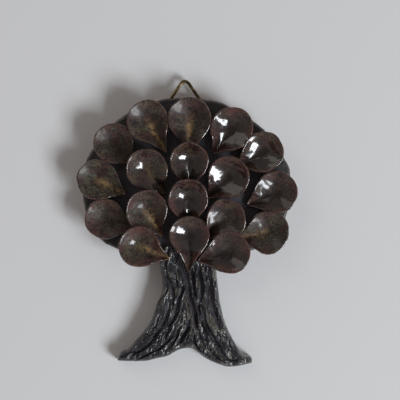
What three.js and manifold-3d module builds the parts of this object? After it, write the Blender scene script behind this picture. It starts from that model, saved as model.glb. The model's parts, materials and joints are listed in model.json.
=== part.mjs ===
// Tree of life wall plaque in dark glazed clay: a flat crown plate and a bark-carved trunk, eighteen leaves
// pressed hollow with a thumb and laid like scales, and a wire loop fired into the plate to hang it by.
//
// Units are millimetres and degrees. The relief is modelled face on, x to the right, y up the tree and z out
// towards the viewer, from the middle of the plate's back. A last turn stands it up, with +Z up and the wall
// at +Y, and puts the origin where the nail under the loop meets the wall.
import * as THREE from "three";
import { mergeVertices } from "three/addons/utils/BufferGeometryUtils.js";
import Module from "manifold-3d";

// ---- Driving dimensions ----
const GAP = 0.3; // kept between pieces that touch

const PLATE = {
  halfWidth: 63,
  shift: -0.7, // its middle stands a little left of the tree's
  rise: 54.4, // centre to top
  drop: 45, // centre to bottom, squarer than the top
  roundTop: 1.92, // superellipse powers of the upper and lower outline
  roundBottom: 2.5,
  wobble: 0.008, // the hand-cut edge strays by this share of its radius
  thickness: 7,
  edge: 1.6,
  sides: 60,
};

const TRUNK = {
  thickness: 9.4,
  edge: 3, // height of its sides before the face rounds over
  rounding: 0.12, // share of the width and of the height over which it rounds
  ridges: 7, // of bark, side by side
  bark: 0.8, // height of a ridge above the body
  columns: 36,
  rows: 22,
};

// The trunk's two sides from under the leaves to the toes, and its sole from the left toe over the arch.
const LEFT_SIDE = [[-15, -36], [-16.8, -46], [-15.2, -54.5], [-15, -62], [-18, -69.5], [-21, -79],
  [-25, -85.5], [-31, -92.5], [-35.6, -97.6], [-39.4, -99.2], [-41.8, -104.2]];
const RIGHT_SIDE = [[15, -36], [17.2, -46], [18.2, -55], [19, -62.5], [20, -70], [22.2, -79.5],
  [25.6, -88], [30, -96], [34.2, -101.2], [38.2, -102.4], [39.4, -105.4]];
const SOLE = [[-40.6, -105.2], [-26, -105.3], [-18.4, -103.7], [-11.8, -102.2], [-7, -99.5], [-2.4, -97.8],
  [3, -97.8], [7.2, -100.6], [11.4, -103.7], [17, -106.4], [24, -108.6], [30, -108.4], [38.2, -106.6]];

const LEAF = {
  radius: 12.2, // of the round end, over the rim
  tip: 19.6, // bowl centre to point
  tipSpread: 1.15, // radians either side of the point over which the outline draws in to it
  tipPower: 3.3, // the higher, the narrower the point is drawn out
  wall: 2.3, // at the bottom of the bowl
  rimWall: 1.9,
  depth: 5.8, // rim above the bottom of the bowl
  tipDepth: 0.28, // share of that depth left at the point
  tipFall: 1, // radians either side of the point over which the rim drops to it
  sides: 24,
  bowlRings: [0.3, 0.55, 0.78, 0.92, 1],
  backRings: [1, 0.85, 0.6, 0.3],
  rimAngles: [55, 125],
};

// The outer ring of leaves stands on an ellipse, one every 30 degrees and none where the trunk is.
const RING = { halfWidth: 53.4, halfHeight: 40.4, step: 30 };
// The inner leaves stand in three columns. Tips aim at the tree's axis, lower for lower leaves.
const COLUMNS = { spread: 25.2, pitch: 23.4, axis: 1.4 };
const AIM = { share: 0.5, offset: -26 };
// A leaf laid over its neighbours' tips is lifted by them and dips to the plate again.
const LIFT = 2.7;

// The loop's two straight legs lean in towards a point above its rounded top.
const WIRE = {
  radius: 1,
  apex: [-1.3, 64], // the middle of the wire at the top of the loop
  rounding: 1.9, // from there up to where the legs would meet
  bend: 3.6, // from where they would meet down to where they run straight
  spread: 8.7, // half the distance between them where they enter the plate
  foot: 53.4, // the height of that place
  buried: 8, // length of each leg inside the plate
  sides: 10,
  steps: 30,
};

const COLOURS = {
  plate: { color: 0x241d1b, roughness: 0.35, metalness: 0 },
  trunk: { color: 0x25272b, roughness: 0.4, metalness: 0.1 },
  leaf: { color: 0x3a2a22, roughness: 0.12, metalness: 0 },
  wire: { color: 0x7a6a3c, roughness: 0.4, metalness: 1 },
};

// Leaves in the order they were laid on. at: the bowl's place in the ring or the columns. nudge: how far the
// hand strayed from it, in mm. turn swings its tip anticlockwise and tilt dips it, in degrees. tip: how far
// out its point is drawn, where that isn't LEAF's.
const RING_LEAVES = [
  { name: "leaf_outer_2", at: -4, nudge: [-2.4, 1.0], turn: 2, tilt: -2, size: 0.98, depth: 4.3 },
  { name: "leaf_outer_3", at: -3, nudge: [0, 4.2], turn: 0, tilt: -3, size: 0.98, depth: 4.3 },
  { name: "leaf_outer_4", at: -2, nudge: [2.4, 5.9], turn: -6, tilt: -2, size: 0.96, depth: 4.2 },
  { name: "leaf_outer_5", at: -1, nudge: [3.3, 4.3], turn: 0, tilt: 0, size: 1.02, depth: 4.8, tip: 21.5 },
  { name: "leaf_outer_6", at: 0, nudge: [1.6, 0.2], turn: 0, tilt: 0, size: 1.05, depth: 5 },
  { name: "leaf_outer_7", at: 1, nudge: [0.3, 0.1], turn: -6, tilt: 2, size: 1.02 },
  { name: "leaf_outer_8", at: 2, nudge: [-0.6, 0.8], turn: -9, tilt: 2, size: 0.98 },
  { name: "leaf_outer_9", at: 3, nudge: [0.3, -3], turn: -2, tilt: 3, size: 1.02 },
  { name: "leaf_outer_10", at: 4, nudge: [2.6, -6.8], turn: -2, tilt: 3, size: 1.02 },
];
const INNER_LEAVES = [
  { name: "leaf_inner_left_upper", column: -1, row: 0, nudge: [-0.8, 1], turn: -6, tilt: 12 },
  { name: "leaf_centre_upper", column: 0, row: 0, nudge: [0, 6.2], turn: 0, tilt: 12, size: 0.92 },
  { name: "leaf_inner_right_upper", column: 1, row: 0, nudge: [-0.8, -3.6], turn: -5, tilt: 12 },
  { name: "leaf_inner_left_lower", column: -1, row: 1, nudge: [-0.8, 0], turn: -25, tilt: 12 },
  { name: "leaf_centre_middle", column: 0, row: 1, nudge: [-0.7, 7.2], turn: 0, tilt: 12, size: 0.96 },
  { name: "leaf_inner_right_lower", column: 1, row: 1, nudge: [-2.3, -5.4], turn: 9, tilt: 12, size: 0.96 },
];
const LAST_LEAVES = [
  { name: "leaf_outer_1", at: -5, nudge: [-2.1, -0.4], turn: -5, tilt: 4, size: 0.98, lift: LIFT,
    tip: 20.8 },
  { name: "leaf_outer_11", at: 5, nudge: [-1.2, -4], turn: 0, tilt: 4, size: 1.02, lift: LIFT },
  { name: "leaf_centre_lower", column: 0, row: 2, nudge: [0.1, 7.5], turn: 0, tilt: 4, size: 0.96,
    tip: 22.2 },
];

const wasm = await Module();
wasm.setup();
const radians = THREE.MathUtils.degToRad;

// ---- Between three.js and manifold-3d ----

// A closed geometry, moved by matrix, as a solid that can be joined and cut.
function solidOf(geometry, matrix = new THREE.Matrix4()) {
  const bare = new THREE.BufferGeometry();
  bare.setAttribute("position", geometry.getAttribute("position").clone());
  bare.setIndex(geometry.index);
  const merged = mergeVertices(bare.applyMatrix4(matrix), 1e-4);
  const mesh = new wasm.Mesh({
    numProp: 3,
    vertProperties: merged.getAttribute("position").array,
    triVerts: new Uint32Array(merged.index.array),
  });
  return new wasm.Manifold(mesh);
}

function geometryOf(solid) {
  const { vertProperties, triVerts } = solid.getMesh();
  const geometry = new THREE.BufferGeometry();
  geometry.setAttribute("position", new THREE.BufferAttribute(new Float32Array(vertProperties), 3));
  geometry.setIndex(new THREE.BufferAttribute(new Uint32Array(triVerts), 1));
  geometry.computeVertexNormals();
  return geometry;
}

// What is left of a piece after its cuts, without the crumbs.
function largestPart(solid) {
  return solid.decompose().reduce((best, part) => (part.volume() > best.volume() ? part : best));
}

// ---- Slabs: the crown plate and the trunk ----

// A slab of clay from z = 0 to its thickness, with softened edges. grow makes the same slab larger all round.
function slab(shape, { thickness, edge }, grow = 0) {
  const geometry = new THREE.ExtrudeGeometry(shape, {
    depth: thickness - 2 * edge + grow,
    curveSegments: 1,
    bevelThickness: edge,
    bevelSize: edge,
    bevelOffset: grow - edge,
    bevelSegments: 2,
  });
  return geometry.translate(0, 0, edge);
}

function plateOutline() {
  const points = [];
  for (let i = 0; i < PLATE.sides; i++) {
    const t = (2 * Math.PI * i) / PLATE.sides;
    const [x, y] = [Math.cos(t), Math.sin(t)];
    const power = 2 / (y < 0 ? PLATE.roundBottom : PLATE.roundTop);
    const stray = 1 + PLATE.wobble * (Math.sin(3 * t + 1) + 0.7 * Math.sin(7 * t));
    points.push(new THREE.Vector2(
      PLATE.shift + PLATE.halfWidth * stray * Math.sign(x) * Math.abs(x) ** power,
      (y < 0 ? PLATE.drop : PLATE.rise) * stray * Math.sign(y) * Math.abs(y) ** power,
    ));
  }
  return new THREE.Shape(points);
}

const vectors = (points) => points.map(([x, y]) => new THREE.Vector2(x, y));

// The trunk's face is a sheet stretched between its two sides, its top and its sole, so lines at one share of
// the width run down into the feet. share goes from the left side to the right, down from the top to the sole.
function trunkSheet(grow) {
  const left = new THREE.SplineCurve(vectors(LEFT_SIDE.map(([x, y]) => [x - grow, y])));
  const right = new THREE.SplineCurve(vectors(RIGHT_SIDE.map(([x, y]) => [x + grow, y])));
  const sole = new THREE.SplineCurve(vectors([LEFT_SIDE.at(-1), ...SOLE, RIGHT_SIDE.at(-1)]));
  const mix = (from, to, share) => from.clone().lerp(to, share);
  return (share, down) => {
    const sides = mix(left.getPointAt(down), right.getPointAt(down), share);
    const top = mix(left.points[0], right.points[0], share);
    const ends = mix(top, sole.getPointAt(share), down);
    const corners = mix(top, mix(left.points.at(-1), right.points.at(-1), share), down);
    return sides.add(ends).sub(corners);
  };
}

// Height of the clay over the wall at a place on the sheet: full in the middle, rounded off to its borders,
// with bark ridges that wander a little on their way down.
function trunkHeight(share, down, bark) {
  const border = Math.min(Math.min(share, 1 - share, 1 - down) / TRUNK.rounding + 0.02, 1);
  const body = TRUNK.edge + (TRUNK.thickness - TRUNK.edge) * Math.sqrt(border * (2 - border));
  const wander = 0.35 * Math.sin(4.2 * down + 5 * share);
  return body + bark * border * Math.sin(2 * Math.PI * (TRUNK.ridges * share + wander));
}

function trunkGeometry(grow = 0, bark = TRUNK.bark) {
  const { columns, rows } = TRUNK;
  const sheet = trunkSheet(grow);
  const points = [];
  const index = [];
  const border = [];
  for (let r = 0; r <= rows; r++) {
    for (let c = 0; c <= columns; c++) {
      const { x, y } = sheet(c / columns, r / rows);
      points.push(new THREE.Vector3(x, y, trunkHeight(c / columns, r / rows, bark) + grow));
      const at = r * (columns + 1) + c;
      const [right, below] = [at + 1, at + columns + 1];
      if (r < rows && c < columns) index.push(at, below, right, right, below, below + 1);
    }
  }
  for (let r = 0; r < rows; r++) border.push(r * (columns + 1));
  for (let c = 0; c < columns; c++) border.push(rows * (columns + 1) + c);
  for (let r = rows; r > 0; r--) border.push(r * (columns + 1) + columns);
  for (let c = columns; c > 0; c--) border.push(c);
  // The back lies on the wall, and a low wall of clay joins it to the face along the border.
  const back = points.length;
  border.forEach((at, i) => {
    const next = (i + 1) % border.length;
    points.push(new THREE.Vector3(points[at].x, points[at].y, -grow));
    index.push(at, back + i, border[next], border[next], back + i, back + next);
  });
  const outline = border.map((at) => new THREE.Vector2(points[at].x, points[at].y));
  for (const [a, b, c] of THREE.ShapeUtils.triangulateShape(outline, [])) {
    index.push(back + a, back + c, back + b);
  }
  return new THREE.BufferGeometry().setFromPoints(points).setIndex(index);
}

function tube(curve, radius, sides, steps) {
  const section = new THREE.Shape();
  section.absarc(0, 0, radius, 0, 2 * Math.PI);
  const round = new THREE.Shape(section.getPoints(sides / 2).slice(0, sides));
  return new THREE.ExtrudeGeometry(round, { steps, curveSegments: 1, bevelEnabled: false, extrudePath: curve });
}

// ---- Leaves ----

// The pressed surface of a leaf: its point is along +x, share runs from the bowl's centre to the rim.
function pressed(leaf, share, angle) {
  const near = Math.max(0, 1 - Math.abs(angle) / LEAF.tipSpread) ** LEAF.tipPower;
  const round = (LEAF.radius - LEAF.rimWall / 2) * leaf.size;
  const point = (leaf.tip - LEAF.rimWall / 2) * leaf.size;
  const reach = share * (round + (point - round) * near);
  const fall = THREE.MathUtils.smoothstep(Math.abs(angle), 0, LEAF.tipFall);
  const height = leaf.depth * (LEAF.tipDepth + (1 - LEAF.tipDepth) * fall);
  return new THREE.Vector3(reach * Math.cos(angle), reach * Math.sin(angle), LEAF.wall + height * share ** 2);
}

// The outward normal of that surface and its direction over the rim.
function slopes(leaf, share, angle) {
  const step = 1e-3;
  const here = pressed(leaf, share, angle);
  const out = pressed(leaf, share + step, angle).sub(here);
  const round = pressed(leaf, share, angle + step).sub(pressed(leaf, share, angle - step));
  return { normal: out.clone().cross(round).normalize(), over: out.normalize() };
}

// One ring of points: on the bowl (turn 0), round the rim, or on the back (turn 180), grown outwards by grow.
function leafRing(leaf, share, turn, grow) {
  const points = [];
  for (let i = 0; i < LEAF.sides; i++) {
    const k = (2 * i) / LEAF.sides - 1;
    const angle = Math.PI * Math.sign(k) * Math.abs(k) ** 1.3;
    const { normal, over } = slopes(leaf, share, angle);
    const half = THREE.MathUtils.lerp(LEAF.wall, LEAF.rimWall, share) / 2;
    const middle = pressed(leaf, share, angle).addScaledVector(normal, -half);
    const [up, side] = [Math.cos(radians(turn)), Math.sin(radians(turn))];
    points.push(middle.addScaledVector(normal, up * (half + grow)).addScaledVector(over, side * (half + grow)));
  }
  return points;
}

// A closed skin through rings of points, from a pole on the front to a pole on the back.
function skin(front, rings, back) {
  const sides = rings[0].length;
  const points = [front, ...rings.flat(), back];
  const index = [];
  for (let i = 0; i < sides; i++) {
    const next = (i + 1) % sides;
    index.push(0, 1 + i, 1 + next);
    for (let r = 1; r < rings.length; r++) {
      const [inner, outer] = [1 + (r - 1) * sides, 1 + r * sides];
      index.push(inner + i, outer + i, outer + next, inner + i, outer + next, inner + next);
    }
    const last = 1 + (rings.length - 1) * sides;
    index.push(last + i, points.length - 1, last + next);
  }
  return new THREE.BufferGeometry().setFromPoints(points).setIndex(index);
}

function leafGeometry(leaf) {
  const rings = [
    ...LEAF.bowlRings.map((share) => leafRing(leaf, share, 0, 0)),
    ...LEAF.rimAngles.map((turn) => leafRing(leaf, 1, turn, 0)),
    ...LEAF.backRings.map((share) => leafRing(leaf, share, 180, 0)),
  ];
  return skin(new THREE.Vector3(0, 0, LEAF.wall), rings, new THREE.Vector3(0, 0, 0));
}

// The room a leaf takes from those laid before it: its bowl counts as full.
function leafRoom(leaf) {
  const rings = [20, 55, 90, 125].map((turn) => leafRing(leaf, 1, turn, GAP))
    .concat(LEAF.backRings.map((share) => leafRing(leaf, share, 180, GAP)));
  return skin(new THREE.Vector3(0, 0, LEAF.wall + leaf.depth + 1), rings, new THREE.Vector3(0, 0, -GAP));
}

// Where a leaf's bowl sits on the face of the plate, and the turn that points its tip at the axis.
function place({ at, column, row, nudge, turn }) {
  const around = radians(RING.step * (at ?? 0));
  const x = nudge[0] + (at === undefined
    ? COLUMNS.axis + COLUMNS.spread * column : RING.halfWidth * Math.sin(around));
  const y = nudge[1] + (at === undefined
    ? COLUMNS.pitch * (0.45 - row) : RING.halfHeight * Math.cos(around));
  const aim = Math.atan2(AIM.share * y + AIM.offset - y, COLUMNS.axis - x);
  return { x, y, aim: aim + radians(turn) };
}

function makeLeaf(spec) {
  const lift = spec.column === undefined ? 0 : LIFT;
  const leaf = { size: 1, tip: LEAF.tip, depth: LEAF.depth, lift, ...spec };
  const { x, y, aim } = place(leaf);
  const mesh = new THREE.Mesh(leafGeometry(leaf), material("leaf"));
  mesh.name = leaf.name;
  mesh.position.set(x, y, PLATE.thickness + GAP + leaf.lift);
  mesh.rotation.set(0, radians(leaf.tilt), aim, "ZYX");
  mesh.updateMatrix();
  return { mesh, room: solidOf(leafRoom(leaf), mesh.matrix) };
}

// ---- The hanging loop ----

// Up out of the plate, over the nail and down again. extra lengthens both buried ends.
function wirePath(extra = 0) {
  const [x, y] = [WIRE.apex[0], WIRE.apex[1] + WIRE.rounding];
  const leg = new THREE.Vector2(WIRE.spread, y - WIRE.foot);
  const end = leg.length() + WIRE.buried + extra;
  leg.normalize();
  const down = (way, distance) => [x + way * leg.x * distance, y - leg.y * distance];
  const straight = (way) => [1, 0.75, 0.5, 0.3].map((share) => down(way, end * share));
  const over = [down(-1, WIRE.bend), WIRE.apex, down(1, WIRE.bend)];
  const points = [...straight(-1), ...over, ...straight(1).reverse()];
  return new THREE.CatmullRomCurve3(points.map(([px, py]) => new THREE.Vector3(px, py, PLATE.thickness / 2)));
}

const wireTube = (grow) => tube(wirePath(2 * grow), WIRE.radius + grow, WIRE.sides, WIRE.steps);

// ---- Assembly ----

function material(piece) {
  return new THREE.MeshStandardMaterial(COLOURS[piece]);
}

function meshOf(name, piece, solid) {
  const mesh = new THREE.Mesh(geometryOf(solid), material(piece));
  mesh.name = name;
  return mesh;
}

const relief = new THREE.Group();

const plateShape = plateOutline();
relief.add(meshOf("crown_plate", "plate", solidOf(slab(plateShape, PLATE)).subtract(solidOf(wireTube(GAP)))));
relief.add(meshOf("hanging_loop", "wire", solidOf(wireTube(0))));

// The trunk is lapped over the plate: its top is thinned to lie on the plate's face, under the leaves.
const plateRoom = solidOf(slab(plateShape, PLATE, GAP));
relief.add(meshOf("trunk", "trunk", largestPart(solidOf(trunkGeometry()).subtract(plateRoom))));

// Each leaf gives way to the plate, the trunk and every leaf laid after it.
const overBark = new THREE.Matrix4().makeTranslation(0, 0, TRUNK.bark);
const trunkRoom = solidOf(trunkGeometry(GAP, 0), overBark).add(solidOf(trunkGeometry(GAP, 0)));
const leaves = [...RING_LEAVES, ...INNER_LEAVES, ...LAST_LEAVES].map(makeLeaf);
leaves.forEach(({ mesh }, i) => {
  let body = solidOf(mesh.geometry, mesh.matrix).subtract(plateRoom).subtract(trunkRoom);
  for (const { room } of leaves.slice(i + 1)) body = body.subtract(room);
  mesh.geometry = geometryOf(largestPart(body)).applyMatrix4(mesh.matrix.clone().invert());
  relief.add(mesh);
});

relief.rotation.x = Math.PI / 2;
relief.position.set(-WIRE.apex[0], 0, WIRE.radius - WIRE.apex[1]);
const tree = new THREE.Group();
tree.add(relief);

export default tree;
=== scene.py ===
"""Tree of life wall plaque: the fired clay and its glaze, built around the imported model.

Shapes are worked out in the relief's own millimetres: x to the right, y up the tree and z out from the
wall, from the middle of the crown plate's back. on_wall() turns them into the frame's metres.
"""
import json
import math

import bpy
import numpy as np
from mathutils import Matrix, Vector
from mathutils.bvhtree import BVHTree


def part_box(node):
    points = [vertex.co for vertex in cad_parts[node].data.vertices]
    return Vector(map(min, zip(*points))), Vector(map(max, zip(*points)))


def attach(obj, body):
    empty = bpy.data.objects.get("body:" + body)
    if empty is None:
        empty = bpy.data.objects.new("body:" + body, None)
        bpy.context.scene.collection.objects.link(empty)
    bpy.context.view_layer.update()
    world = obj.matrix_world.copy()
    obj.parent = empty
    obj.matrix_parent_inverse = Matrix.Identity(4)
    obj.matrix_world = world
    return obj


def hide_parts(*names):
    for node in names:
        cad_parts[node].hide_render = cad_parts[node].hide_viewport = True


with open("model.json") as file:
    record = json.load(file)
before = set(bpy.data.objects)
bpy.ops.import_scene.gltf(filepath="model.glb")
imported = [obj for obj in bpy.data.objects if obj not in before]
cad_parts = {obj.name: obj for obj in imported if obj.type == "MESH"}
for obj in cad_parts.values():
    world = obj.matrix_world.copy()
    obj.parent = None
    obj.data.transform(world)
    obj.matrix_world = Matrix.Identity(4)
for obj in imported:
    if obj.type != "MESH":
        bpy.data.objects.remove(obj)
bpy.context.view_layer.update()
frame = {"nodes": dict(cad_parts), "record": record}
MM = 0.001
MOUNTS = {mount["name"]: mount for mount in frame["record"]["mounts"]}
CENTRE = np.array(MOUNTS["wall_face"]["pos_m"])

# ---- The plaque's measures in mm ----
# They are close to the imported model's. The leaves are thinner here, six of them are pressed up to 1.1 mm
# shallower, and one tip is drawn out 1.3 mm further.

PLATE_THICK = 7.0
PLATE_EDGE = 2.0  # how far its front edge is rounded in
LIFT = 2.7  # how much higher the leaves of the columns lie than the ring's
GAP = 0.3

# The outer leaves stand on an oval, step degrees apart. The inner ones stand in three columns, spread
# apart, in rows a pitch apart, the first top pitches above the plate's middle. The tip of a leaf at
# height y points at the columns' axis at height share * y + offset.
RING = {"half_width": 53.4, "half_height": 40.4, "step": 30}
COLUMNS = {"spread": 25.2, "pitch": 23.4, "axis": 1.4, "top": 0.45}
AIM = {"share": 0.5, "offset": -26}

# radius, tip: from the bowl's middle to the round end and to the tip; spread: the angle over which the
# tip is drawn out, pinch: how narrow it gets; depth: the rim above the bowl's middle, tip_depth: the
# share of it left at the tip, flank: the angle over which it drops; wall, rim_wall: thicknesses; bowl,
# crease: how round the floor is in the bowl and in the valley; fold, valley_full: where the valley
# starts, in radii behind the bowl's middle, and where it is full, in tips ahead of it; bend: the tip's
# sideways curl.
LEAF = {"radius": 12.2, "tip": 19.6, "spread": 1.15, "pinch": 3.3, "depth": 5.7, "tip_depth": 0.3,
        "flank": 0.6, "wall": 2.0, "rim_wall": 1.3, "bowl": 0.62, "crease": 0.13, "fold": 0.4,
        "valley_full": 0.6, "bend": 0}

# thick, foot, edge: thickness at the top, at the feet and at the outer edge; shoulder: how far in the edge
# is rounded. The sides run down from under the leaves, and the sole from the left foot to the right one.
TRUNK = {"thick": 9.6, "foot": 7.2, "edge": 3.0, "shoulder": 3.0}
LEFT_SIDE = [(-15, -36), (-16.8, -46), (-15.2, -54.5), (-15, -62), (-18, -69.5), (-21, -79),
             (-25, -85.5), (-31, -92.5), (-35.6, -97.6), (-39.4, -99.2), (-41.8, -104.2)]
RIGHT_SIDE = [(15, -36), (17.2, -46), (18.2, -55), (19, -62.5), (20, -70), (22.2, -79.5),
              (25.6, -88), (30, -96), (34.2, -101.2), (38.2, -102.4), (39.4, -105.4)]
SOLE = [(-40.6, -105.2), (-26, -105.3), (-18.4, -103.7), (-11.8, -102.2), (-7, -99.5), (-2.4, -97.8),
        (3, -97.8), (7.2, -100.6), (11.4, -103.7), (17, -106.4), (24, -108.6), (30, -108.4), (38.2, -106.6)]

# The legs are spread to each side at the height foot, go on for buried mm in the plate, and would meet
# rounding above the apex. bend: how far down each leg the bend's curve starts.
WIRE = {"radius": 1.0, "apex": (-1.3, 64), "rounding": 1.9, "bend": 3.6, "foot": 53.4, "spread": 8.7,
        "buried": 8}

# Leaves in the order they were laid on. at: place in the ring; column and row: place in the columns;
# nudge: how far the hand strayed, in mm; turn, tilt: the tip's swing and dip in degrees; size: the
# outline's scale; lift, depth, tip, fold, pinch, bend: what differs from the usual leaf.
# gloss: 1 is the wettest glaze, and it deepens the painted shade on the bowl's floor. ochre, olive and rust:
# how much of each shows through the brown; less ochre leaves more painted shade down the valley.
LEAVES = [
    dict(name="leaf_outer_2", at=-4, nudge=(-2.4, 1.0), turn=2, tilt=-2, size=0.98, depth=4.3, fold=0.7,
         gloss=0.15, ochre=0.3, olive=0.6, rust=0.6),
    dict(name="leaf_outer_3", at=-3, nudge=(0, 4.2), turn=0, tilt=-3, size=0.98, depth=4.3, fold=0.9,
         gloss=0.1, ochre=1.0, olive=0.8, rust=0.1),
    dict(name="leaf_outer_4", at=-2, nudge=(2.4, 5.9), turn=-6, tilt=-2, size=0.96, depth=4.2, fold=0.6,
         gloss=0.1, ochre=0.3, olive=0.5, rust=0.5),
    dict(name="leaf_outer_5", at=-1, nudge=(3.3, 4.3), turn=0, tilt=0, size=1.02, depth=4.8, tip=21.5,
         fold=1.0, pinch=4.2, bend=0.8, gloss=0.15, ochre=1.0, olive=0.7, rust=0.3),
    dict(name="leaf_outer_6", at=0, nudge=(1.6, 0.2), turn=0, tilt=0, size=1.05, depth=5, fold=1.0,
         gloss=0.15, ochre=1.0, olive=0.4, rust=0.4),
    dict(name="leaf_outer_7", at=1, nudge=(0.3, 0.1), turn=-6, tilt=2, size=1.02,
         gloss=1, ochre=0.2, olive=0.1, rust=0.8),
    dict(name="leaf_outer_8", at=2, nudge=(-0.6, 0.8), turn=-9, tilt=2, size=0.98, fold=0.7,
         gloss=1, ochre=0.2, olive=0.6, rust=0.5),
    dict(name="leaf_outer_9", at=3, nudge=(0.3, -3), turn=-2, tilt=3, size=1.02, depth=5.2,
         gloss=0.7, ochre=0.2, olive=0.3, rust=0.6),
    dict(name="leaf_outer_10", at=4, nudge=(2.6, -6.8), turn=-2, tilt=3, size=1.02, depth=5.0, fold=0.7,
         gloss=0.4, ochre=0.8, olive=0.6, rust=0.3),
    dict(name="leaf_inner_left_upper", column=-1, row=0, nudge=(-0.8, 1), turn=-6, tilt=12, depth=4.9,
         fold=0.7, pinch=4.0, bend=0.6, gloss=1, ochre=0.7, olive=0.6, rust=0.4),
    dict(name="leaf_centre_upper", column=0, row=0, nudge=(0, 6.2), turn=0, tilt=12, size=0.92, fold=0.6,
         gloss=1, ochre=0.2, olive=0.5, rust=0.5),
    dict(name="leaf_inner_right_upper", column=1, row=0, nudge=(-0.8, -3.6), turn=-5, tilt=12, pinch=3.8,
         gloss=1, ochre=0.2, olive=0.3, rust=0.7),
    dict(name="leaf_inner_left_lower", column=-1, row=1, nudge=(-0.8, 0), turn=-25, tilt=12, fold=1.0,
         pinch=4.2, bend=0.6, gloss=0.2, ochre=1.0, olive=0.5, rust=0.5),
    dict(name="leaf_centre_middle", column=0, row=1, nudge=(-0.7, 7.2), turn=0, tilt=12, size=0.96,
         fold=-0.3, gloss=1, ochre=0.2, olive=0.2, rust=0.5),
    dict(name="leaf_inner_right_lower", column=1, row=1, nudge=(-2.3, -5.4), turn=9, tilt=12, size=0.96,
         depth=4.7, gloss=0.5, ochre=0.3, olive=0.7, rust=0.7),
    dict(name="leaf_outer_1", at=-5, nudge=(-2.1, -0.4), turn=-5, tilt=4, size=0.98, lift=LIFT, tip=20.8,
         fold=0.8, pinch=4.0, bend=-0.8, gloss=0.5, ochre=0.9, olive=0.8, rust=0.9),
    dict(name="leaf_outer_11", at=5, nudge=(-1.2, -4), turn=0, tilt=4, size=1.02, lift=LIFT, depth=5.0,
         fold=0.7, gloss=0.9, ochre=0.1, olive=0.3, rust=1.0),
    dict(name="leaf_centre_lower", column=0, row=2, nudge=(0.1, 7.5), turn=0, tilt=4, size=0.96, depth=5.0,
         tip=23.6, pinch=4.4, gloss=1, ochre=0.15, olive=0.3, rust=0.9),
]


# ---- Points and meshes ----

RIPPLE_WAVES = 18
FLAT_ON_WALL = 0.9999  # a face whose normal has this much y lies on the wall


def on_wall(points):
    """Relief millimetres (n, 3) as frame metres: the relief's y goes up and its z comes out of the wall."""
    points = np.asarray(points)
    return CENTRE + MM * np.column_stack([points[:, 0], -points[:, 2], points[:, 1]])


def ripple(points, seed, length):
    """Smooth unevenness at points in mm, about -1 to 1, with bumps about length apart."""
    rng = np.random.default_rng(seed)
    total = np.zeros(len(points))
    for _ in range(RIPPLE_WAVES):
        way = rng.normal(size=points.shape[1])
        way *= 2 * math.pi / (length * rng.uniform(0.7, 1.5) * np.linalg.norm(way))
        total += np.sin(points @ way + rng.uniform(0, 2 * math.pi))
    return total / math.sqrt(RIPPLE_WAVES)


def smoothstep(x, low, high):
    """A soft step from 0 at low to 1 at high, which may be the smaller of the two."""
    t = np.clip((x - low) / (high - low), 0, 1)
    return t * t * (3 - 2 * t)


def ring_faces(rings, sides):
    """Faces of a closed skin: a front pole, rings of sides points each, then a back pole."""
    faces = []
    last = 1 + (rings - 1) * sides
    for i in range(sides):
        n = (i + 1) % sides
        faces.append((0, 1 + i, 1 + n))
        for r in range(1, rings):
            a, b = 1 + (r - 1) * sides, 1 + r * sides
            faces.append((a + i, b + i, b + n, a + n))
        faces.append((last + i, last + sides, last + n))
    return faces


def add_mesh(name, points, faces, attributes=None):
    """A smooth shaded object from relief points. attributes: one number a point, for its material."""
    mesh = bpy.data.meshes.new(name)
    mesh.from_pydata(on_wall(points).tolist(), [], faces)
    mesh.update()
    normals = np.empty(3 * len(faces))
    mesh.polygons.foreach_get("normal", normals)
    back = normals[1::3] > FLAT_ON_WALL  # the flat backs keep their sharp edge
    mesh.polygons.foreach_set("use_smooth", ~back)
    for key, values in (attributes or {}).items():
        layer = mesh.attributes.new(key, "FLOAT", "POINT")
        layer.data.foreach_set("value", np.asarray(values, dtype=np.float32))
    mesh.validate()
    mesh.update()
    piece = bpy.data.objects.new(name, mesh)
    bpy.context.scene.collection.objects.link(piece)
    return piece


def settle(piece, node, look):
    """A finished piece: it rides on the only body, stands for its solid, and has its finish."""
    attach(piece, "root")
    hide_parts(node)
    piece.data.materials.append(look)


# ---- Leaves ----

# A leaf's mesh: points round it, closer together towards the tip, on rings out over the bowl, round the rim
# and back in behind.
LEAF_SIDES = 120
BOWL_SHARES = np.linspace(0.05, 1, 24) ** 0.9
RIM_TURNS = np.linspace(18, 162, 9)
BACK_SHARES = np.linspace(1, 0.08, 12)
FLANK_STEPS = 200
ANY_PHASE = 6.28  # a random phase is drawn up to this

# How far clay stays below a leaf laid over it, in mm: a leaf's front, its back, and the trunk's face.
FRONT_SLACK, BACK_SLACK, TRUNK_SLACK = 0.15, 0.7, 0.1


def outline(leaf, angle):
    """How far the rim is from the bowl's middle at each angle: round, with a pinched tip at angle 0."""
    near = np.clip(1 - np.abs(angle) / LEAF["spread"], 0, 1) ** leaf["pinch"]
    round_end = LEAF["radius"] * leaf["size"] - LEAF["rim_wall"] / 2
    point = leaf["tip"] * leaf["size"] - LEAF["rim_wall"] / 2
    stray = sum(a * np.cos(k * angle + p) for k, a, p in leaf["outline"])
    return (round_end + (point - round_end) * near) * (1 + stray)


def rim_height(leaf, angle):
    """How high the rim stands over the bowl's middle at each angle: it drops only at the very tip."""
    fall = smoothstep(np.abs(angle), 0, LEAF["flank"])
    wave = sum(a * np.cos(k * angle + p) for k, a, p in leaf["brim"])
    return leaf["depth"] * (LEAF["tip_depth"] + (1 - LEAF["tip_depth"]) * fall) * (1 + wave)


def curl(leaf, x):
    """How far the leaf is bent sideways x mm ahead of the bowl's middle."""
    return leaf["bend"] * smoothstep(x, 2, LEAF["tip"])


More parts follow.
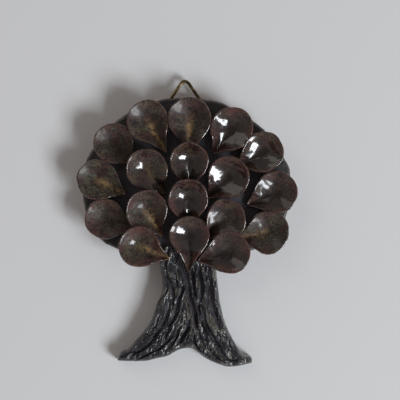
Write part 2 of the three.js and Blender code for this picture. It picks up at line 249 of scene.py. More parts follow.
def press(leaf, share, angle):
    """A leaf's pressed face, its tip along +x: share is 0 at the bowl's middle and 1 at the rim."""
    reach = share * outline(leaf, angle)
    x, y = reach * np.cos(angle), reach * np.sin(angle)
    # Towards the tip the walls close in on a valley: there the height goes by the share of the half width.
    turn = np.linspace(math.pi / 2, 0, FLANK_STEPS)
    flanks = []
    for way in (-1, 1):
        edge = outline(leaf, way * turn)
        at_rim = (edge * np.sin(turn), rim_height(leaf, way * turn))
        flanks.append([np.interp(x, edge * np.cos(turn), values) for values in at_rim])
    width_here, level_here = np.where(y < 0, *flanks)
    tail = smoothstep(x, -leaf["fold"] * LEAF["radius"], LEAF["valley_full"] * LEAF["tip"])
    across = np.clip(np.abs(y) / np.maximum(width_here, 0.05), 0, 1)
    across = np.where(share >= 1, 1.0, across)
    climb = share + (across - share) * tail
    # The floor is round over about floor, and from there the wall goes straight up to the rim.
    floor = LEAF["bowl"] + (LEAF["crease"] - LEAF["bowl"]) * tail
    climb = (np.sqrt(climb ** 2 + floor ** 2) - floor) / (np.sqrt(1 + floor ** 2) - floor)
    height = rim_height(leaf, angle)
    height = (height + (level_here - height) * tail) * climb
    return np.column_stack([x, y + curl(leaf, x), LEAF["wall"] + height])


def leaf_ring(leaf, share, turn, angle):
    """One ring of points: on the bowl at turn 0, round the rim, and on the back at turn 180."""
    step = 1e-3
    here = press(leaf, share, angle)
    out = press(leaf, share + step, angle) - here
    along = press(leaf, share, angle + step) - press(leaf, share, angle - step)
    normal = np.cross(out, along)
    normal /= np.linalg.norm(normal, axis=1)[:, None]
    out /= np.linalg.norm(out, axis=1)[:, None]
    wall = LEAF["wall"] + (LEAF["rim_wall"] - LEAF["wall"]) * smoothstep(share, 0.2, 1)
    # Outwards it gets uneven, and half as thick again at the tip.
    more = 0.12 * np.cos(5 * angle + leaf["brim"][0][2]) + 0.5 * np.exp(-angle ** 2)
    half = (wall / 2 * (1 + more * share))[:, None]
    up, over = math.cos(math.radians(turn)), math.sin(math.radians(turn))
    return here - half * normal + half * (up * normal + over * out)


def place(leaf):
    """Where the bowl's middle stands on the plate, and the angle its tip points at, towards the trunk."""
    if "at" in leaf:
        around = math.radians(RING["step"] * leaf["at"])
        x, y = RING["half_width"] * math.sin(around), RING["half_height"] * math.cos(around)
    else:
        x = COLUMNS["axis"] + COLUMNS["spread"] * leaf["column"]
        y = COLUMNS["pitch"] * (COLUMNS["top"] - leaf["row"])
    x, y = x + leaf["nudge"][0], y + leaf["nudge"][1]
    aim = math.atan2(AIM["share"] * y + AIM["offset"] - y, COLUMNS["axis"] - x)
    return x, y, aim + math.radians(leaf["turn"])


def lay(points, leaf):
    """Local leaf points dipped, turned and set down on the plate."""
    x, y, aim = place(leaf)
    tilt = math.radians(leaf["tilt"])
    dip = np.array([[math.cos(tilt), 0, math.sin(tilt)], [0, 1, 0], [-math.sin(tilt), 0, math.cos(tilt)]])
    swing = np.array([[math.cos(aim), -math.sin(aim), 0], [math.sin(aim), math.cos(aim), 0], [0, 0, 1]])
    return points @ (swing @ dip).T + [x, y, PLATE_THICK + GAP + leaf["lift"]]


def leaf_shape(number, spec):
    """Points of one leaf on the plate, with what its glaze needs to know of each point."""
    rng = np.random.default_rng(100 + number)
    usual = {key: LEAF[key] for key in ("tip", "depth", "pinch", "fold", "bend")}
    leaf = {"size": 1.0, "lift": LIFT if "column" in spec else 0.0, **usual, **spec}
    leaf["outline"] = [(k, 0.012 * rng.normal(), rng.uniform(0, ANY_PHASE)) for k in (2, 3, 5)]
    leaf["brim"] = [(k, 0.05 / k * rng.normal(), rng.uniform(0, ANY_PHASE)) for k in (2, 3, 5)]
    k = np.linspace(-1, 1, LEAF_SIDES, endpoint=False)
    angle = math.pi * np.sign(k) * np.abs(k) ** 1.25
    rings = [leaf_ring(leaf, share, 0, angle) for share in BOWL_SHARES]
    rings += [leaf_ring(leaf, 1.0, turn, angle) for turn in RIM_TURNS]
    rings += [leaf_ring(leaf, share, 180, angle) for share in BACK_SHARES]
    points = np.vstack([[(0, 0, LEAF["wall"])], *rings, [(0, 0, 0)]])
    order = np.arange(len(points))
    front = 1 + len(BOWL_SHARES) * LEAF_SIDES
    edge = front + len(RIM_TURNS) * LEAF_SIDES

    # For the glaze: the valley's middle line, the rim, the share of the way out, and where the bowl's floor
    # gets painted shade.
    rim = np.zeros(len(points))
    rim[front:edge] = 1
    rim[front - LEAF_SIDES:front] = 0.6
    x, y = points[:, 0], points[:, 1] - curl(leaf, points[:, 0])
    valley = np.exp(-(y / (1.1 + 1.5 * smoothstep(-x, -14, 2))) ** 2) * smoothstep(x, -4, 5)
    share = np.clip(np.hypot(x, y) / outline(leaf, np.arctan2(y, x)), 0, 1)
    # Painted shade: the bowl's floor, from its middle towards the tip, is darkened.
    bowl_painted_shade = (1 - smoothstep(share, 0.6, 1.0)) * smoothstep(x, -9, 1)
    attributes = {"valley": valley, "rim": rim, "share": share, "bowl_painted_shade": bowl_painted_shade}

    # Uneven clay under the glaze: the thumb's flats, and the fine wander of the wall.
    lumps = 0.075 * ripple(points, 300 + number, 7.5) + 0.014 * ripple(points, 400 + number, 3.4)
    points[:, 2] += lumps * np.where(order < edge, 1.0, 0.5)
    stray = [ripple(points, seed + number, 4) for seed in (500, 600)]
    points[:, :2] += 0.08 * np.column_stack(stray)
    slack = np.where(order < front + 4 * LEAF_SIDES, FRONT_SLACK, BACK_SLACK)
    return {"spec": leaf, "points": lay(points, leaf), "slack": slack, "attributes": attributes}


def tuck_under(points, slack, covers):
    """Clay that lies under a leaf laid on it later gives way: it stays slack mm below that leaf's back."""
    well_behind, outwards = -20, Vector((0, 0, 1))
    for cover in covers:
        low, high = cover["points"].min(axis=0), cover["points"].max(axis=0)
        near = np.flatnonzero(np.all((points[:, :2] > low[:2]) & (points[:, :2] < high[:2]), axis=1))
        for i in near:
            hit = cover["tree"].ray_cast(Vector((points[i, 0], points[i, 1], well_behind)), outwards)[0]
            if hit is not None:
                points[i, 2] = min(points[i, 2], hit.z - slack[i])


def make_leaves():
    """All the leaves, from the last laid to the first, each tucked under those laid after it."""
    rings = len(BOWL_SHARES) + len(RIM_TURNS) + len(BACK_SHARES)
    faces = ring_faces(rings, LEAF_SIDES)
    laid = []
    for number in reversed(range(len(LEAVES))):
        leaf = leaf_shape(number, LEAVES[number])
        tuck_under(leaf["points"], leaf["slack"], laid)
        leaf["tree"] = BVHTree.FromPolygons(leaf["points"].tolist(), faces)
        name = leaf["spec"]["name"]
        piece = add_mesh(name + "_glazed", leaf["points"], faces, leaf["attributes"])
        settle(piece, name, leaf_glaze(number, leaf["spec"]))
        laid.append(leaf)
    return laid


# ---- Crown plate ----

PLATE_SIDES = 420
PLATE_SECTORS = 60
PLATE_REACH = 60  # about its radius, for the unevenness of its edge
PLATE_ROUND = 2.6  # how far below the face its edge is widest
CORNER_BLUR = 7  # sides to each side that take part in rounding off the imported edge's corners


def plate_outline():
    """Angle and radius, in mm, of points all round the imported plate's edge."""
    solid = frame["nodes"]["crown_plate"]
    vertices = (np.array([v.co for v in solid.data.vertices]) - CENTRE) / MM
    angle, radius = np.arctan2(vertices[:, 2], vertices[:, 0]), np.hypot(vertices[:, 0], vertices[:, 2])
    edges = np.linspace(-math.pi, math.pi, PLATE_SECTORS + 1)
    sectors = [np.flatnonzero((angle >= low) & (angle < high)) for low, high in zip(edges[:-1], edges[1:])]
    furthest = [sector[np.argmax(radius[sector])] for sector in sectors if len(sector)]
    return angle[furthest], radius[furthest]


def plate_radius(angles, circle):
    """The edge's radius at each angle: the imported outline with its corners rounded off, a little uneven."""
    at, edge = plate_outline()
    radius = np.interp(angles, at, edge, period=2 * math.pi)
    kernel = np.hanning(2 * CORNER_BLUR + 1)
    around = np.concatenate([radius[-CORNER_BLUR:], radius, radius[:CORNER_BLUR]])
    radius = np.convolve(around, kernel / kernel.sum(), "valid")
    return (radius + 0.35 * ripple(PLATE_REACH * circle, 21, 16)
            + 0.12 * ripple(PLATE_REACH * circle, 22, 4))


def plate_rows():
    """(reach, z) of each ring, from the middle of the front to the middle of the back.

    reach: a share of the radius, or when it isn't positive, how many mm it is out from the edge.
    """
    rows = [(share, PLATE_THICK) for share in np.linspace(0.05, 0.96, 26)]
    for turn in np.radians(np.linspace(90, -40, 12)):
        inset = PLATE_EDGE * (1 - math.cos(turn))
        rows.append((-inset, PLATE_THICK - PLATE_ROUND + PLATE_ROUND * math.sin(turn)))
    return rows + [(-1.2, 0.25), (-1.6, 0)] + [(share, 0) for share in np.linspace(0.93, 0.06, 8)]


def make_plate():
    """The slab behind the leaves, as rings of points round it."""
    angles = np.linspace(-math.pi, math.pi, PLATE_SIDES, endpoint=False)
    circle = np.column_stack([np.cos(angles), np.sin(angles)])
    radius = plate_radius(angles, circle)
    rows = plate_rows()
    rings, gap_lights = [], [1.0]
    for reach, z in rows:
        span = radius * reach if reach > 0 else radius + reach
        rings.append(np.column_stack([circle * span[:, None], np.full(PLATE_SIDES, z)]))
        gap_lights += [smoothstep(reach, 0.98, 0.86) if reach > 0 else 0.0] * PLATE_SIDES
    points = np.vstack([[(0, 0, PLATE_THICK)], *rings, [(0, 0, 0)]])
    front = smoothstep(points[:, 2], 1.0, 5.0)
    # The face between the leaves gets a bluish slip, lightened with painted light against the shade there,
    # and the edge's clay is bare.
    attributes = {"gap_tint_and_light": front * np.array([*gap_lights, 0.0]), "bare": 1 - smoothstep(points[:, 2], 5.4, 6.8)}
    points[:, 2] += front * (0.16 * ripple(points, 23, 11) + 0.06 * ripple(points, 24, 3))
    piece = add_mesh("crown_plate_clay", points, ring_faces(len(rows), PLATE_SIDES), attributes)
    settle(piece, "crown_plate", plate_clay())


# ---- Trunk ----

TRUNK_COLUMNS, TRUNK_ROWS = 280, 336
CURVE_STEPS = 30  # points on a curve from one control point to the next
FINE_GROOVES = 110
DEEPEST, HIGHEST = -3.6, 1.2  # of the carved bark, in mm
ROUGH_EDGE = 1.4  # how high over the back a ring of uneven points runs round the sides
SINK = 1.0  # how far the back is sunk into the plate where they lap

# The deep grooves: share of the width and of the height where each starts, then where it ends, how far it
# bows to the right on the way, its depth and its half width in mm.
DEEP_GROOVES = [
    (0.14, 0.00, 0.10, 0.20, 0.00, 1.2, 1.0), (0.08, 0.18, 0.25, 0.40, -0.02, 1.8, 1.1),
    (0.30, 0.04, 0.64, 0.74, 0.03, 2.8, 1.5), (0.44, 0.00, 0.47, 0.22, 0.01, 1.8, 1.1),
    (0.54, 0.14, 0.60, 0.46, -0.02, 2.2, 1.2), (0.69, 0.12, 0.70, 0.44, 0.01, 2.0, 1.1),
    (0.85, 0.08, 0.93, 0.64, -0.03, 2.8, 1.6), (0.78, 0.16, 0.80, 0.50, 0.01, 1.5, 0.9),
    (0.65, 0.42, 0.72, 0.64, -0.01, 1.9, 1.0), (0.72, 0.50, 0.88, 0.80, -0.02, 2.3, 1.1),
    (0.93, 0.66, 0.96, 0.99, 0.00, 1.4, 1.0), (0.71, 0.70, 0.84, 1.00, -0.02, 2.3, 1.2),
    (0.56, 0.72, 0.66, 0.98, -0.02, 2.0, 1.1), (0.52, 0.64, 0.43, 0.94, 0.02, 2.4, 1.2),
    (0.42, 0.68, 0.37, 0.92, 0.01, 2.0, 1.0), (0.36, 0.28, 0.24, 0.70, 0.03, 2.2, 1.2),
    (0.34, 0.74, 0.12, 1.00, 0.05, 2.0, 1.3), (0.17, 0.66, 0.07, 0.98, 0.02, 1.8, 1.2),
    (0.20, 0.44, 0.15, 0.74, 0.01, 1.5, 1.0), (0.26, 0.60, 0.27, 0.86, 0.02, 1.6, 1.0),
    (0.82, 0.68, 0.92, 0.99, -0.02, 1.7, 1.0), (0.60, 0.50, 0.60, 0.70, 0.02, 1.5, 0.9),
]


def spline(control, count):
    """Points evenly spaced along a Catmull-Rom curve through the control points."""
    control = np.array(control, dtype=float)
    t = np.linspace(0, 1, CURVE_STEPS, endpoint=False)[:, None]
    dense = []
    for i in range(len(control) - 1):
        p0, p1, p2 = control[max(i - 1, 0)], control[i], control[i + 1]
        p3 = control[min(i + 2, len(control) - 1)]
        v0, v1 = (p2 - p0) / 2, (p3 - p1) / 2
        dense.append((2 * p1 - 2 * p2 + v0 + v1) * t ** 3 + (-3 * p1 + 3 * p2 - 2 * v0 - v1) * t ** 2
                     + v0 * t + p1)
    dense = np.vstack([*dense, control[-1:]])
    run = np.concatenate([[0], np.cumsum(np.linalg.norm(np.diff(dense, axis=0), axis=1))])
    even = np.linspace(0, run[-1], count)
    return np.column_stack([np.interp(even, run, dense[:, k]) for k in (0, 1)])


def trunk_sheet():
    """The trunk's face as a grid: rows down from under the leaves to the sole, columns left to right."""
    left, right = spline(LEFT_SIDE, TRUNK_ROWS), spline(RIGHT_SIDE, TRUNK_ROWS)
    sole = spline([LEFT_SIDE[-1], *SOLE, RIGHT_SIDE[-1]], TRUNK_COLUMNS)
    u = np.linspace(0, 1, TRUNK_COLUMNS)[None, :, None]
    v = np.linspace(0, 1, TRUNK_ROWS)[:, None, None]
    top = left[0] * (1 - u) + right[0] * u
    sides = left[:, None] * (1 - u) + right[:, None] * u
    ends = top * (1 - v) + sole[None] * v
    corners = top * (1 - v) + (left[-1] * (1 - u) + right[-1] * u) * v
    return sides + ends - corners


def bark(u, v, width):
    """Height of carved bark at shares u across and v down of a sheet whose rows are width mm wide."""
    rng = np.random.default_rng(41)
    grooves = list(DEEP_GROOVES)
    for _ in range(FINE_GROOVES):
        start, top, run = rng.uniform(0, 1), rng.uniform(-0.05, 0.95), rng.uniform(0.07, 0.22)
        fan = 0.9 * (start - 0.5) * (top > 0.4)  # they spread out into the feet
        slant = run * (0.35 * rng.normal() + fan)
        bow, depth, half = 0.01 * rng.normal(), rng.uniform(0.35, 1.0), rng.uniform(0.35, 0.75)
        grooves.append((start, top, start + slant, top + run, bow, depth, half))
    carved = np.zeros(u.shape)
    for u0, v0, u1, v1, bow, depth, half in grooves:
        t = np.clip((v - v0) / (v1 - v0), 0, 1)
        middle = u0 + (u1 - u0) * t + bow * np.sin(math.pi * t) + 0.008 * np.sin(11 * t + 20 * u0)
        off = np.abs(u - middle) * width / half
        ends = np.sqrt(4 * t * (1 - t))
        # The tool pushes up a lip on both sides of each groove.
        carved += ends * depth * (0.32 * np.exp(-((off - 1.5) / 0.42) ** 2) - 0.9 * np.exp(-off ** 2))
    return np.clip(carved, DEEPEST, HIGHEST)


def trunk_face(sheet, u, v, width, carved):
    """The front's points: the bark, rounded off at the sides and the sole."""
    height = np.linalg.norm(sheet[-1] - sheet[0], axis=1)[None, :]
    inward = np.minimum.reduce([width * u, width * (1 - u), height * (1 - v)]) / TRUNK["shoulder"]
    rounding = np.sqrt(1 - (1 - np.clip(inward, 0, 1)) ** 2)
    flat = np.column_stack([sheet.reshape(-1, 2), np.zeros(u.size)])
    grain = (0.13 * ripple(flat * [1, 0.4, 1], 42, 2.0) + 0.07 * ripple(flat, 43, 1.0)
             + 0.3 * ripple(flat * [1, 0.5, 1], 44, 6)).reshape(u.shape)
    thick = TRUNK["thick"] + (TRUNK["foot"] - TRUNK["thick"]) * smoothstep(v, 0.55, 1.0)
    z = TRUNK["edge"] + (thick - TRUNK["edge"]) * rounding + (carved + grain) * (0.25 + 0.75 * rounding)
    return np.column_stack([sheet.reshape(-1, 2), z.ravel()])


def lapped(y):
    """1 at heights y where the trunk's back lies over the crown plate, falling to 0 just below its edge."""
    lap = (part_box("crown_plate")[0][2] - CENTRE[2]) / MM
    return smoothstep(y, lap - 0.3, lap + 1.0)


def trunk_back(border, sunk):
    """Faces of the trunk's back: one in the plate, a strip down the slope out of it, and one below.

    border: the points round the back, down the left, along the sole, up the right and along the top.
    sunk: for each row, how far its left and right ends are sunk into the plate, from 1 at the top to 0.
    """
    rows, columns = TRUNK_ROWS - 1, TRUNK_COLUMNS - 1
    left, right = border[:rows + 1], border[rows + columns:2 * rows + columns + 1][::-1]
    start = int(np.flatnonzero(sunk.min(axis=1) == 1)[-1])
    end = int(np.flatnonzero(sunk.max(axis=1) == 0)[0])
    loops = [left[:start + 1] + right[start::-1] + border[2 * rows + columns + 1:]]
    loops += [[left[r], left[r + 1], right[r + 1], right[r]] for r in range(start, end)]
    loops.append(left[end:] + border[rows + 1:rows + columns] + right[:end - 1:-1])
    return [loop[::-1] for loop in loops]


def make_trunk(leaves):
    """The trunk as one closed skin: the carved face under the leaves, rough sides and a flat back."""
    sheet = trunk_sheet()
    u = np.broadcast_to(np.linspace(0, 1, TRUNK_COLUMNS)[None, :], sheet.shape[:2])
    v = np.broadcast_to(np.linspace(0, 1, TRUNK_ROWS)[:, None], sheet.shape[:2])
    width = np.linalg.norm(sheet[:, -1] - sheet[:, 0], axis=1)[:, None]
    carved = bark(u, v, width)
    points = trunk_face(sheet, u, v, width, carved)
    tuck_under(points, np.full(len(points), TRUNK_SLACK), leaves)
    index = np.arange(u.size).reshape(u.shape)
    corners = [index[:-1, :-1], index[1:, :-1], index[1:, 1:], index[:-1, 1:]]
    faces = np.column_stack([corner.ravel() for corner in corners]).tolist()

    # Behind the crown plate the trunk's back is sunk into the plate. Below it lies on the wall.
    border = [*index[:-1, 0], *index[-1, :-1], *index[:0:-1, -1], *index[0, :0:-1]]
    rise = SINK * lapped(points[border][:, 1])
    edges = [points[border] * [1, 1, 0] + np.outer(rise + level, [0, 0, 1]) for level in (ROUGH_EDGE, 0.0)]
    for axis in (0, 1):
        edges[0][:, axis] += 0.12 * ripple(edges[1][:, :2], 45 + axis, 2.5)
    count, first = len(border), len(points)
    for i in range(count):
        n = (i + 1) % count
        faces.append((border[i], first + i, first + n, border[n]))
        faces.append((first + i, first + count + i, first + count + n, first + n))
    faces += trunk_back([first + count + i for i in range(count)], lapped(sheet[:, [0, -1], 1]))

    # The glaze is worn off the flats between the grooves, but not on the left foot.
    left_foot = smoothstep(v, 0.3, 0.6) * smoothstep(0.5 - u, 0.0, 0.2)
    worn = (1 - left_foot) * (1 - smoothstep(np.abs(carved), 0.15, 0.6))
    on_face = {"groove": np.clip(-carved / 1.3, 0, 1), "ridge": np.clip(carved / 0.5, 0, 1), "worn": worn}
    attributes = {key: np.append(values, np.zeros(2 * count)) for key, values in on_face.items()}
    attributes["bare"] = np.repeat([0.0, 1.0], [len(points) + count, count])
    piece = add_mesh("trunk_bark", np.vstack([points, *edges]), faces, attributes)
    settle(piece, "trunk", trunk_glaze())


# ---- Hanging loop ----

WIRE_SIDES, WIRE_STEPS = 28, 160
LEG_SHARES = (1, 0.75, 0.5, 0.3)  # where points hold each leg straight, from its buried end up


def make_wire():
    """One bent wire: up one leg from inside the plate, round the apex and down the other."""
    apex = np.array(WIRE["apex"])
    meet = apex + [0, WIRE["rounding"]]
    leg = np.array([WIRE["spread"], meet[1] - WIRE["foot"]])
    end = np.linalg.norm(leg) + WIRE["buried"]
    leg /= np.linalg.norm(leg)
    left, right = ([meet + end * share * leg * [way, -1] for share in LEG_SHARES] for way in (-1, 1))
    top = [meet - WIRE["bend"] * leg, apex, meet + WIRE["bend"] * leg * [1, -1]]
    path = spline([*left, *top, *reversed(right)], WIRE_STEPS)
    along = np.gradient(path, axis=0)
    along /= np.linalg.norm(along, axis=1)[:, None]
    side = np.column_stack([-along[:, 1], along[:, 0]])
    turns = np.linspace(0, 2 * math.pi, WIRE_SIDES, endpoint=False)
    rings = []
    for i, (at, across) in enumerate(zip(path, side)):
        radius = WIRE["radius"] * (1 + 0.02 * math.sin(0.35 * i))
        flat = at + np.outer(radius * np.cos(turns), across)
        rings.append(np.column_stack([flat, PLATE_THICK / 2 + radius * np.sin(turns)]))
    ends = [(*path[0], PLATE_THICK / 2), (*path[-1], PLATE_THICK / 2)]
    points = np.vstack([[ends[0]], *rings, [ends[1]]])
    piece = add_mesh("hanging_loop_wire", points, ring_faces(WIRE_STEPS, WIRE_SIDES))
    settle(piece, "hanging_loop", wire_metal())


# ---- Materials ----

# Colours of the glazes, clays and brass. The two of a pair are mixed in a grain.
BROWN = (0.081, 0.040, 0.033)
DARK = (0.0135, 0.0100, 0.0105)
OLIVE = (0.077, 0.070, 0.036)
RUST = (0.106, 0.040, 0.034)
OCHRE = (0.290, 0.185, 0.085)
FLECK = (0.110, 0.115, 0.085)
THIN_RIM = (0.150, 0.085, 0.072)
BARE_CLAY = ((0.080, 0.054, 0.045), (0.150, 0.100, 0.082))
SLIP = ((0.034, 0.035, 0.037), (0.066, 0.065, 0.062))
# A bluish slip, lightened as painted light for the shaded face between the leaves.
GAP_SLIP_AND_LIGHT = (0.064, 0.059, 0.072)
BARK_GLAZE = ((0.013, 0.013, 0.017), (0.028, 0.026, 0.033))
WORN_BARK = (0.105, 0.100, 0.082)
# The grooves' bluish tone, lightened as painted light against the shade in them.
GROOVE_TINT_AND_LIGHT = (0.050, 0.046, 0.057)
BRASS = ((0.10, 0.075, 0.04), (0.26, 0.20, 0.10))


def new_material(name):
    """A new material, its node tree and its shader."""
    look = bpy.data.materials.new(name)
    look.use_nodes = True
    tree = look.node_tree
    shader = tree.nodes["Principled BSDF"]
    return look, tree, shader


def node(tree, kind, inputs=None, **settings):
    """A shader node with its settings and inputs: an input is a value or another node's output."""
    made = tree.nodes.new(kind)
    for key, value in settings.items():
        setattr(made, key, value)
    for key, value in (inputs or {}).items():
        if isinstance(value, bpy.types.NodeSocket):
            tree.links.new(value, made.inputs[key])
        else:
            made.inputs[key].default_value = value
    return made


def noise(tree, millimetres, detail=3.0, roughness=0.55, distortion=0.0):
    """Noise with features about that many millimetres across."""
    where = node(tree, "ShaderNodeTexCoord").outputs["Object"]
    made = node(tree, "ShaderNodeTexNoise", {"Vector": where, "Scale": 1 / (millimetres * MM),
                                             "Detail": detail, "Roughness": roughness,
                                             "Distortion": distortion})
    return made.outputs["Fac"]


def attribute(tree, name):
    """One of the numbers that add_mesh gave each point."""
    return node(tree, "ShaderNodeAttribute", attribute_name=name).outputs["Fac"]


def ramp(tree, value, low, high):
    """value spread from low..high to 0..1 with soft ends, and held there."""
    made = node(tree, "ShaderNodeMapRange", {"Value": value, "From Min": low, "From Max": high},
                interpolation_type="SMOOTHSTEP")
    return made.outputs["Result"]


def grade(tree, value, start, end, low=0.0, high=1.0):
    """From start where value is low to end where it is high, in proportion, and held there."""
    made = node(tree, "ShaderNodeMapRange", {"Value": value, "From Min": low, "From Max": high,
                                             "To Min": start, "To Max": end})
    return made.outputs["Result"]


def times(tree, a, b):
    """The product of two values or outputs."""
    return node(tree, "ShaderNodeMath", {0: a, 1: b}, operation="MULTIPLY").outputs[0]


def mix(tree, share, a, b):
    """Two colours mixed: each is (r, g, b) or a node's output."""
    made = node(tree, "ShaderNodeMix", {"Factor": share}, data_type="RGBA")
    for key, colour in ((6, a), (7, b)):
        if isinstance(colour, bpy.types.NodeSocket):
            tree.links.new(colour, made.inputs[key])
        else:
            made.inputs[key].default_value = (*colour, 1)
    return made.outputs[2]


def bump(tree, height, millimetres):
    """Unevenness too fine for the mesh, up to that many millimetres high."""
    made = node(tree, "ShaderNodeBump", {"Height": height, "Distance": millimetres * MM, "Strength": 1.0})
    return made.outputs["Normal"]


def leaf_glaze(number, leaf):
    """Dark brown glaze: mottled, olive and rust in patches, ochre down the valley, thin over the rim, with
    painted shade in the valley and on the bowl's floor.
    """
    look, tree, shader = new_material(leaf["name"] + "_glaze")
    dull = 1 - leaf["gloss"]
    speck = noise(tree, 1.2, detail=5, roughness=0.7)
    patch = noise(tree, 6.5 + 0.4 * (number % 5), detail=2)
    other = noise(tree, 8.2 + 0.5 * (number % 4), detail=2, distortion=0.6)
    share, valley, rim = (attribute(tree, name) for name in ("share", "valley", "rim"))

    thin = times(tree, ramp(tree, speck, 0.40, 0.58), ramp(tree, noise(tree, 4.0), 0.32, 0.60))
    colour = mix(tree, thin, DARK, BROWN)
    olive = times(tree, ramp(tree, patch, 0.38, 0.58), leaf["olive"])
    colour = mix(tree, times(tree, olive, ramp(tree, speck, 0.42, 0.58)), colour, OLIVE)
    high = times(tree, ramp(tree, other, 0.40, 0.62), ramp(tree, share, 0.35, 0.95))
    rust = times(tree, times(tree, high, leaf["rust"]), ramp(tree, speck, 0.35, 0.55))
    colour = mix(tree, rust, colour, RUST)
    grit = noise(tree, 1.3, detail=4, roughness=0.7)
    fleck = times(tree, ramp(tree, grit, 0.52, 0.58), ramp(tree, patch, 0.45, 0.6))
    colour = mix(tree, times(tree, fleck, 0.3 + 0.4 * dull), colour, FLECK)

    streak = times(tree, valley, ramp(tree, noise(tree, 2.6, detail=4), 0.36, 0.60))
    colour = mix(tree, times(tree, streak, leaf["ochre"]), colour, OCHRE)
    # Painted shade: the valley is darkened where it shows no ochre.
    colour = mix(tree, times(tree, valley, 0.7 * (1 - leaf["ochre"])), colour, DARK)
    # Painted shade on the bowl's floor towards the tip, deeper on the glossier leaves.
    deep = 0.75 * leaf["gloss"] * (1 - 0.6 * leaf["ochre"])
    colour = mix(tree, times(tree, attribute(tree, "bowl_painted_shade"), deep), colour, DARK)
    worn = times(tree, rim, ramp(tree, noise(tree, 1.6), 0.3, 0.7))
    colour = mix(tree, times(tree, worn, 0.4), colour, THIN_RIM)
    tree.links.new(colour, shader.inputs["Base Color"])

    rough = grade(tree, speck, 0.36 + 0.06 * dull, 0.52 + 0.12 * dull, 0.3, 0.7)
    tree.links.new(times(tree, rough, grade(tree, rim, 1.0, 0.2)), shader.inputs["Roughness"])
    tree.links.new(bump(tree, speck, 0.03 + 0.09 * dull), shader.inputs["Normal"])
    tree.links.new(bump(tree, speck, 0.02), shader.inputs["Coat Normal"])
    tree.links.new(grade(tree, rim, leaf["gloss"], 1.0, low=0.5), shader.inputs["Coat Weight"])
    shader.inputs["IOR"].default_value = 1.6
    shader.inputs["Specular IOR Level"].default_value = 0.05 + 0.24 * dull
    shader.inputs["Coat Roughness"].default_value = 0.12 + 0.07 * dull
    shader.inputs["Coat IOR"].default_value = 1.6
    return look


def bare_clay(tree):
    """The colour of the fired clay where no glaze ran."""
    return mix(tree, ramp(tree, noise(tree, 3.0, detail=4), 0.3, 0.7), *BARE_CLAY)


def plate_clay():
    """Dark slip, bluish and lightened with painted light on the face between the leaves, with bare clay at
    the edge and behind.
    """
    look, tree, shader = new_material("crown_plate_slip")
    grain = noise(tree, 1.1, detail=4, roughness=0.6)
    bare = attribute(tree, "bare")
    colour = mix(tree, ramp(tree, grain, 0.35, 0.65), *SLIP)
    colour = mix(tree, bare, colour, bare_clay(tree))
    # Painted light: the face between the leaves is lightened against the shade there.
    colour = mix(tree, attribute(tree, "gap_tint_and_light"), colour, GAP_SLIP_AND_LIGHT)
    tree.links.new(colour, shader.inputs["Base Color"])
    tree.links.new(grade(tree, bare, 0.34, 0.75), shader.inputs["Roughness"])
    tree.links.new(bump(tree, grain, 0.25), shader.inputs["Normal"])
    return look


def trunk_glaze():
    """Near black glaze, worn to olive grey clay on the flats, with a wet glint; the grooves are lightened
    with painted light against their shade, in a bluish tone.
    """
    look, tree, shader = new_material("trunk_bark_glaze")
    grain = noise(tree, 0.7, detail=4, roughness=0.65)
    bare = attribute(tree, "bare")
    colour = mix(tree, ramp(tree, grain, 0.38, 0.62), *BARK_GLAZE)
    patch = noise(tree, 5.5, distortion=0.8)
    worn = times(tree, ramp(tree, patch, 0.46, 0.54), attribute(tree, "worn"))
    colour = mix(tree, times(tree, worn, ramp(tree, grain, 0.3, 0.55)), colour, WORN_BARK)
    # Painted light: the grooves are lightened against the shade in them.
    colour = mix(tree, attribute(tree, "groove"), colour, GROOVE_TINT_AND_LIGHT)
    colour = mix(tree, bare, colour, bare_clay(tree))
    tree.links.new(colour, shader.inputs["Base Color"])

    wet = grade(tree, attribute(tree, "ridge"), 1.0, 0.35)
    glazed = times(tree, grade(tree, grain, 0.34, 0.50, 0.3, 0.7), wet)
    rough = node(tree, "ShaderNodeMath", {0: bare, 1: 0.3, 2: glazed}, operation="MULTIPLY_ADD")
    tree.links.new(rough.outputs[0], shader.inputs["Roughness"])
    tree.links.new(bump(tree, grain, 0.2), shader.inputs["Normal"])
    tree.links.new(bump(tree, grain, 0.04), shader.inputs["Coat Normal"])
    tree.links.new(grade(tree, bare, 0.85, 0.0), shader.inputs["Coat Weight"])
    shader.inputs["Specular IOR Level"].default_value = 0.25
    shader.inputs["Coat Roughness"].default_value = 0.07
    return look


def wire_metal():
    """Brass, darkened in patches."""
    look, tree, shader = new_material("darkened_brass")
    tarnish = noise(tree, 2.5, detail=4, roughness=0.6)
    colour = mix(tree, ramp(tree, tarnish, 0.35, 0.65), *BRASS)
    tree.links.new(colour, shader.inputs["Base Color"])
    tree.links.new(grade(tree, tarnish, 0.25, 0.5), shader.inputs["Roughness"])
    shader.inputs["Metallic"].default_value = 1.0
    return look


# ---- Stage: a plain pale wall, a window and the room ----

LOOK_AT = CENTRE + MM * np.array([7.8, -10, -7.8])  # the middle of the view
VIEW_WIDTH = 240 * MM
CAMERA_AWAY = 0.75

WALL_HALF = 1.4
WALL_BEHIND = 0.6 * MM

# The window: how far away, how steeply its light meets the wall, how far below level it comes from, the
# width and height of each of its four panes, the bars between them, and the power of each pane.
WINDOW = {"away": 3.5, "elevation": 32, "below": 36, "pane": (0.51, 0.75), "bar": 0.06, "power": 27.4}
DAYLIGHT = (0.955, 1.0, 1.045)
WARM = (1.0, 0.93, 0.88)

WALL_PAINT = (0.80, 0.81, 0.82)
ROOM_GLOW = (1.0, 0.91, 0.86)
PAST_WALL = (0.72, 0.73, 0.74)


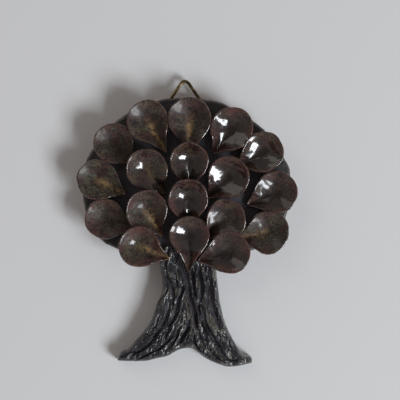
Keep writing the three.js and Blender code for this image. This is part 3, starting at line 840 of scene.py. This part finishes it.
def make_wall():
    """A plain pale wall just behind the plaque."""
    mesh = bpy.data.meshes.new("wall")
    corners = [(x * WALL_HALF, WALL_BEHIND, z * WALL_HALF) for x, z in ((-1, -1), (1, -1), (1, 1), (-1, 1))]
    mesh.from_pydata(corners, [], [(0, 1, 2, 3)])
    wall = bpy.data.objects.new("wall", mesh)
    bpy.context.scene.collection.objects.link(wall)
    look, tree, shader = new_material("pale_paint")
    shader.inputs["Base Color"].default_value = (*WALL_PAINT, 1)
    shader.inputs["Roughness"].default_value = 0.7
    shader.inputs["Specular IOR Level"].default_value = 0.2
    # Seen from behind the wall isn't there, so the plaque's back can be looked at.
    behind = node(tree, "ShaderNodeNewGeometry").outputs["Backfacing"]
    clear = node(tree, "ShaderNodeBsdfTransparent").outputs["BSDF"]
    both = node(tree, "ShaderNodeMixShader", {0: behind, 1: shader.outputs["BSDF"], 2: clear})
    tree.links.new(both.outputs["Shader"], tree.nodes["Material Output"].inputs["Surface"])
    mesh.materials.append(look)
    wall.visible_shadow = False


def area_light(name, towards, away, size, power, colour=(1, 1, 1), shift=(0, 0)):
    """A soft light that way from the plaque, turned to it. shift moves it sideways and up in its plane."""
    way = Vector(towards).normalized()
    turn = way.to_track_quat("Z", "Y")
    data = bpy.data.lights.new(name, "AREA")
    data.shape = "RECTANGLE"
    data.size, data.size_y = size
    data.energy = power
    data.color = colour
    lamp = bpy.data.objects.new(name, data)
    lamp.rotation_mode = "QUATERNION"
    lamp.rotation_quaternion = turn
    lamp.location = Vector(LOOK_AT) + away * way + turn @ Vector((*shift, 0))
    lamp.visible_camera = False
    bpy.context.scene.collection.objects.link(lamp)


def make_lights():
    """The window in four panes, the pale ceiling that it lights, and a lamp for the plaque's back."""
    low, drop = math.radians(WINDOW["elevation"]), math.radians(WINDOW["below"])
    towards = (math.cos(low) * math.cos(drop), -math.sin(low), -math.cos(low) * math.sin(drop))
    right, up = ((side + WINDOW["bar"]) / 2 for side in WINDOW["pane"])
    for i, shift in enumerate([(-right, -up), (right, -up), (-right, up), (right, up)]):
        area_light(f"window_{i + 1}", towards, WINDOW["away"], WINDOW["pane"], WINDOW["power"],
                   DAYLIGHT, shift)
    area_light("ceiling", (-0.68, -0.32, 0.66), away=1.8, size=(2.2, 0.9), power=5.0, colour=WARM)
    area_light("behind", (-0.3, 1.0, 0.5), away=1.5, size=(1.5, 1.5), power=12.0)


def make_world():
    """The room's own light: warm, from the sides, with the far end of the room in the dark."""
    world = bpy.data.worlds.new("room")
    bpy.context.scene.world = world
    world.use_nodes = True
    tree = world.node_tree
    way = node(tree, "ShaderNodeTexCoord").outputs["Generated"]
    ahead = node(tree, "ShaderNodeSeparateXYZ", {0: way}).outputs["Y"]
    strength = grade(tree, ramp(tree, ahead, -0.95, -0.55), 0.10, 0.29)
    fill = tree.nodes["Background"]
    fill.inputs["Color"].default_value = (*ROOM_GLOW, 1)
    tree.links.new(strength, fill.inputs["Strength"])
    # What is seen past the wall's edges is as pale as the wall.
    pale = node(tree, "ShaderNodeBackground", {"Color": (*PAST_WALL, 1), "Strength": 0.8})
    seen = node(tree, "ShaderNodeLightPath").outputs["Is Camera Ray"]
    both = node(tree, "ShaderNodeMixShader", {0: seen, 1: fill.outputs[0], 2: pale.outputs[0]})
    tree.links.new(both.outputs[0], tree.nodes["World Output"].inputs["Surface"])


def make_camera():
    """Level, and straight on to the wall."""
    data = bpy.data.cameras.new("camera")
    camera = bpy.data.objects.new("camera", data)
    bpy.context.scene.collection.objects.link(camera)
    data.sensor_width = 36
    data.lens = data.sensor_width * CAMERA_AWAY / VIEW_WIDTH
    camera.location = Vector(LOOK_AT) + Vector((0, -CAMERA_AWAY, 0))
    camera.rotation_euler = (math.pi / 2, 0, 0)
    bpy.context.scene.camera = camera


make_camera()
make_world()
make_lights()
make_wall()
leaves = make_leaves()
make_plate()
make_trunk(leaves)
make_wire()

settings = bpy.context.scene.view_settings
settings.view_transform = "Standard"
settings.look = "None"
